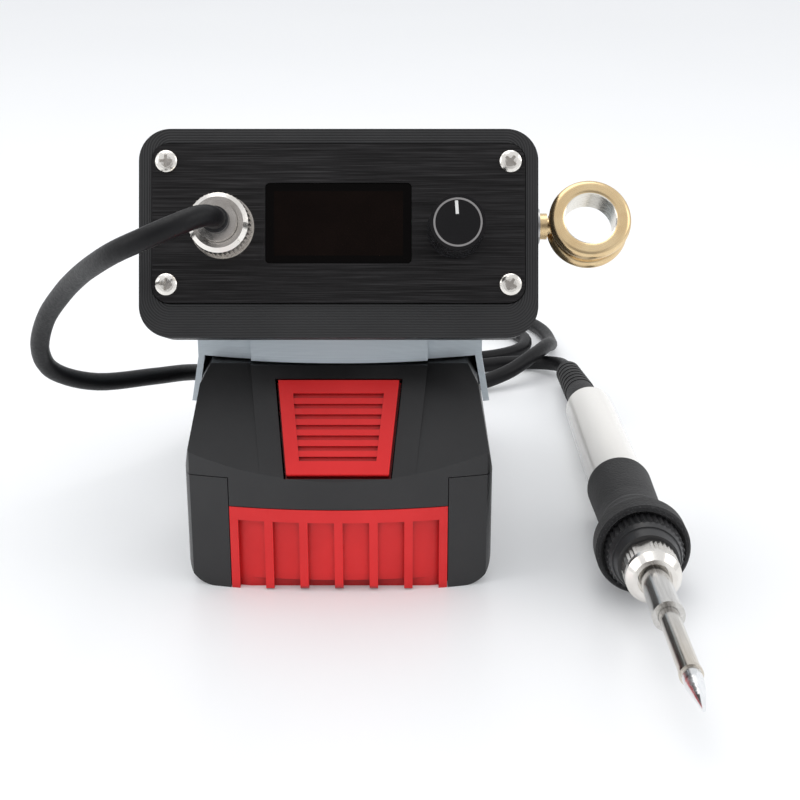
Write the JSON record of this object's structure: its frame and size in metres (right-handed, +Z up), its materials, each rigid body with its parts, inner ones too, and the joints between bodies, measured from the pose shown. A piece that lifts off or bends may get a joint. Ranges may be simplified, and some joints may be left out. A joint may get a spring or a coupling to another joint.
{
  "type": "soldering iron station",
  "caption": "Battery-powered soldering station: tilted control box on a printed adapter over a power-tool battery pack, with a corded iron and a brass holder ring at its side.",
  "frame": {"origin": "middle of the battery pack's flat underside, on the bench", "axes": "+X to the right, +Y to the back, +Z up; the control panel faces -Y"},
  "size_m": [0.1694, 0.3252, 0.1118],
  "materials": {
    "black_shell": "fine even texture, satin",
    "red_soft": "red, satin",
    "spring_steel": "bright spring steel",
    "black_screw": "black",
    "cell_sleeve": "green sleeve",
    "nickel_strip": "nickel",
    "dark_plastic": "moulded",
    "green_board": "circuit board",
    "contact_brass": "plated",
    "printed_grey": "light blue-grey print with fine level lines",
    "printed_black": "black print with lines that follow the rim",
    "black_aluminium": "black, brushed from side to side",
    "nickel": "bright nickel",
    "black_glass": "glossy black window",
    "component": "parts on the board",
    "red_lead": "red lead",
    "grey_metal": "plain steel",
    "knob_black": "black, satin side and glossy face",
    "knob_chrome": "bright ring",
    "pointer_white": "white",
    "holder_brass": "light brass, softly polished",
    "white_handle": "glossy warm white",
    "black_grip": "black foam, matt",
    "collar_black": "black, satin",
    "tip_steel": "polished steel",
    "tin": "tinned",
    "ceramic": "ceramic",
    "cord_black": "black, satin"
  },
  "bodies": {
    "station": {"adapter": "printed_grey", "contact_blades": "contact_brass", "contact_carrier": "dark_plastic", "contact_cover": "printed_grey", "cover_screws": "nickel_strip", "foot_screws": "black_screw", "housing": "printed_black", "front_panel": "black_aluminium", "panel_screws": "nickel", "display_window": "black_glass", "display_module": "component", "control_board": "green_board", "board_parts": "component", "power_leads": "red_lead", "encoder_body": "grey_metal", "encoder_nut": "nickel_strip", "socket_shell": "nickel", "socket_nut": "nickel_strip", "socket_insert": "dark_plastic", "socket_pins": "contact_brass", "plug_shell": "nickel", "plug_gland": "dark_plastic", "holder_stud": "holder_brass", "holder_washer": "grey_metal", "holder_nut": "nickel_strip", "cord": "cord_black"},
    "pack": {"pack_tub": "black_shell", "pack_lid": "black_shell", "bumper": "red_soft", "latch_leaf": "spring_steel", "pack_screws": "black_screw", "cells": "cell_sleeve", "cell_links": "nickel_strip", "cell_frame": "dark_plastic", "pack_board": "green_board", "terminal_clips": "contact_brass"},
    "button": {"release_button": "red_soft"},
    "plunger": {"encoder_rotor": "dark_plastic"},
    "knob": {"encoder_shaft": "grey_metal", "knob": "knob_black", "knob_ring": "knob_chrome", "knob_face": "knob_black", "knob_pointer": "pointer_white"},
    "ring": {"holder_ring": "holder_brass"},
    "plug_nut": {"coupling_ring": "nickel"},
    "iron": {"handle": "white_handle", "handle_core": "dark_plastic", "grip": "black_grip", "grip_collar": "collar_black", "tip_sleeve": "tip_steel", "boot": "black_grip"},
    "iron_nut": {"clamping_nut": "nickel"},
    "tip": {"tip_shaft": "tip_steel", "tip_bit": "tin", "tip_heater": "ceramic"}
  },
  "joints": [
    {"name": "pack_slide", "type": "slide", "parent": "station", "child": "pack", "axis": [0, -1, 0], "range_m": [0, 0.095], "deforming": ["latch_leaf"]},
    {"name": "button_press", "type": "slide", "parent": "pack", "child": "button", "axis": [0, 0.7988, -0.6016], "range_m": [0, 0.0016], "stiffness_N_per_m": 600, "springref_m": -0.004, "deforming": ["latch_leaf"]},
    {"name": "knob_press", "type": "slide", "parent": "station", "child": "plunger", "axis": [0, 0.9397, -0.342], "range_m": [0, 0.0005], "stiffness_N_per_m": 1500, "springref_m": -0.001},
    {"name": "knob_turn", "type": "hinge", "parent": "plunger", "child": "knob", "pos_m": [0.028, -0.05591, 0.09193], "axis": [0, 0.9397, -0.342], "continuous": true},
    {"name": "ring_swivel", "type": "hinge", "parent": "station", "child": "ring", "pos_m": [0.0612, -0.03189, 0.08659], "axis": [1, 0, 0], "range_deg": [-30, 60]},
    {"name": "plug_nut_turn", "type": "hinge", "parent": "station", "child": "plug_nut", "pos_m": [-0.0266, -0.05366, 0.09227], "axis": [0, 0.9397, -0.342], "continuous": true},
    {"name": "iron_lift", "type": "slide", "parent": "station", "child": "iron", "axis": [0, 0, 1], "range_m": [0, 0.06]},
    {"name": "iron_nut_turn", "type": "hinge", "parent": "iron", "child": "iron_nut", "pos_m": [0.0748, -0.0639, 0.01214], "axis": [0, -0.9992, 0.0401], "continuous": true},
    {"name": "tip_pull", "type": "slide", "parent": "iron", "child": "tip", "axis": [0, -0.9992, 0.0401], "range_m": [0, 0.04]}
  ]
}
